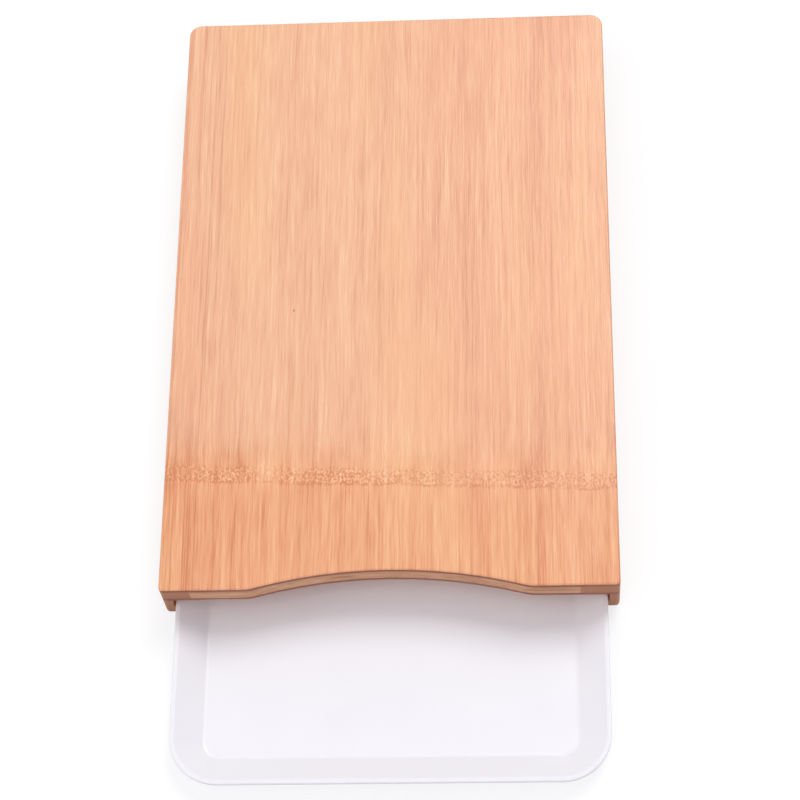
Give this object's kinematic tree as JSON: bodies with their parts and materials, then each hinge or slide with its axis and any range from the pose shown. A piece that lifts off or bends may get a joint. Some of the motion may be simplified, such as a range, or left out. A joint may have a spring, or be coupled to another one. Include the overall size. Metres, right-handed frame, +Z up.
{
  "type": "cutting board with sliding tray",
  "caption": "Rectangular bamboo cutting board with a concave finger cut at the front, on rubber feet, and a shallow white tray that slides out from under it on side rails.",
  "frame": {"origin": "on the table, under the middle of the object's whole box with the tray drawn out as in the picture", "axes": "+Z up, -Y to the front, where the tray is drawn out, and +X to the right seen from the front"},
  "size_m": [0.251, 0.472, 0.0365],
  "materials": {
    "bamboo_face": "sanded and lightly oiled",
    "bamboo_core": "sanded",
    "bamboo_band": "sanded",
    "bamboo_rail": "sanded",
    "tray_plastic": "glossy moulded",
    "foot_rubber": "matte moulded",
    "screw_steel": "zinc plated"
  },
  "bodies": {
    "board": {"top_ply": "bamboo_face", "bottom_ply": "bamboo_face", "left_edge_band": "bamboo_band", "right_edge_band": "bamboo_band", "core_slat_01": "bamboo_core", "core_slat_02": "bamboo_core", "core_slat_03": "bamboo_core", "core_slat_04": "bamboo_core", "core_slat_05": "bamboo_core", "core_slat_06": "bamboo_core", "core_slat_07": "bamboo_core", "core_slat_08": "bamboo_core", "core_slat_09": "bamboo_core", "core_slat_10": "bamboo_core", "core_slat_11": "bamboo_core", "core_slat_12": "bamboo_core", "core_slat_13": "bamboo_core", "core_slat_14": "bamboo_core", "core_slat_15": "bamboo_core", "core_slat_16": "bamboo_core", "core_slat_17": "bamboo_core", "core_slat_18": "bamboo_core", "left_rail": "bamboo_rail", "right_rail": "bamboo_rail", "back_rail": "bamboo_rail", "front_left_foot": "foot_rubber", "front_right_foot": "foot_rubber", "back_left_foot": "foot_rubber", "back_right_foot": "foot_rubber", "foot_screws": "screw_steel"},
    "tray": {"tray": "tray_plastic"}
  },
  "joints": [
    {"name": "tray_slide", "type": "slide", "parent": "board", "child": "tray", "axis": [0, -1, 0], "range_m": [-0.102, 0.252]}
  ]
}
